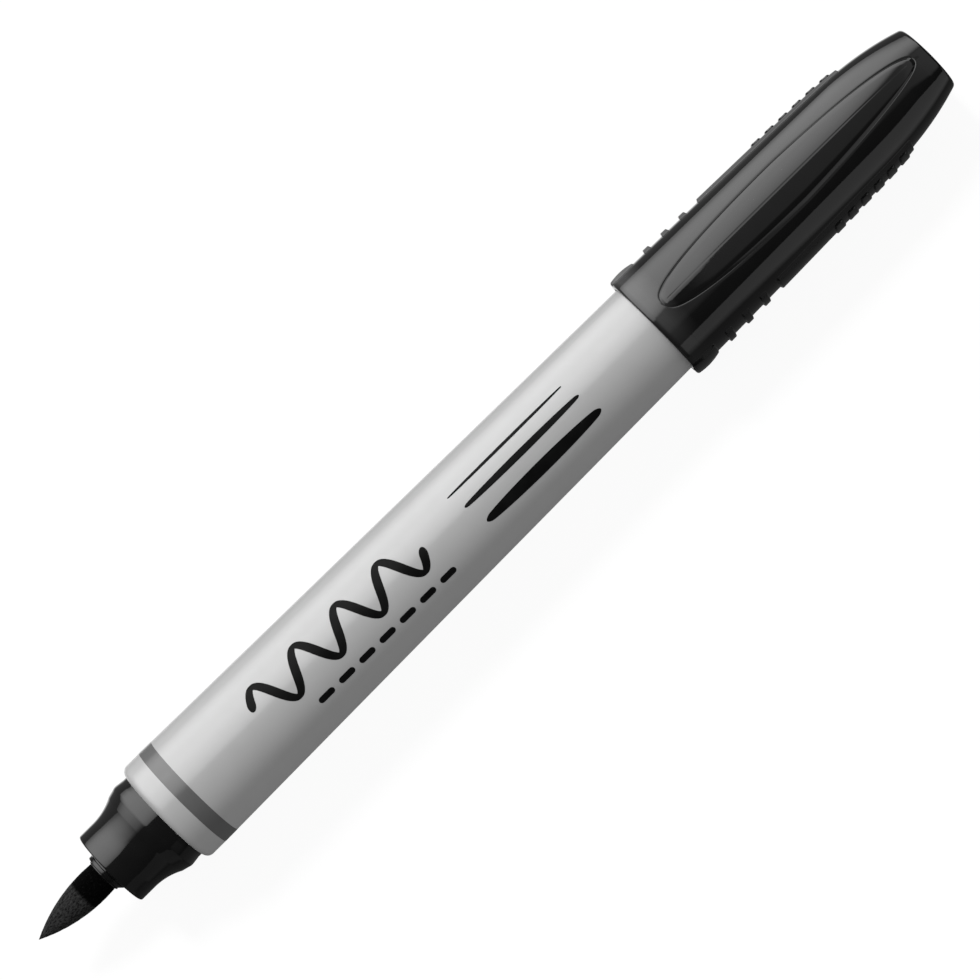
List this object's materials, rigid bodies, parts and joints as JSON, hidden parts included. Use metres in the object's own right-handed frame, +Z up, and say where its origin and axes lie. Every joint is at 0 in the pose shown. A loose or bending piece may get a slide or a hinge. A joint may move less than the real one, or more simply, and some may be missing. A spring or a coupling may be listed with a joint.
{
  "type": "brush pen",
  "caption": "Brush pen with a tapered light grey barrel, black section, pointed flexible brush nib and a ribbed cap posted on the tail.",
  "frame": {"origin": "on the ground under the middle of the posted pen, lying flat", "axes": "+X along the pen from the nib to the closed end of the cap, +Z up through the lens on the cap's upper face, +Y to the far side grip"},
  "size_m": [0.1422, 0.0146, 0.0145],
  "materials": {
    "barrel_plastic": "satin gloss, printed band",
    "section_plastic": "gloss",
    "collar_plastic": "gloss",
    "nib_fibre": "ink-soaked fibre",
    "core_fibre": "ink-soaked fibre",
    "film": "thin film",
    "cap_plastic": "gloss",
    "seal_plastic": "satin"
  },
  "bodies": {
    "pen_body": {"barrel": "barrel_plastic", "front_section": "section_plastic", "nib_collar": "collar_plastic", "ink_reservoir": "core_fibre", "reservoir_sleeve": "film"},
    "brush_tip": {"brush_nib": "nib_fibre"},
    "cap": {"cap_shell": "cap_plastic", "cap_inner_seal": "seal_plastic"}
  },
  "joints": [
    {"name": "cap_slide", "type": "slide", "parent": "pen_body", "child": "cap", "axis": [1, 0, 0], "range_m": [0, 0.03]},
    {"name": "nib_flex", "type": "hinge", "parent": "pen_body", "child": "brush_tip", "pos_m": [-0.06078, 0, 0.00727], "axis": [0, 0, 1], "range_deg": [-25, 25], "stiffness_Nm_per_rad": 0.008, "deforming": ["brush_nib"]}
  ]
}
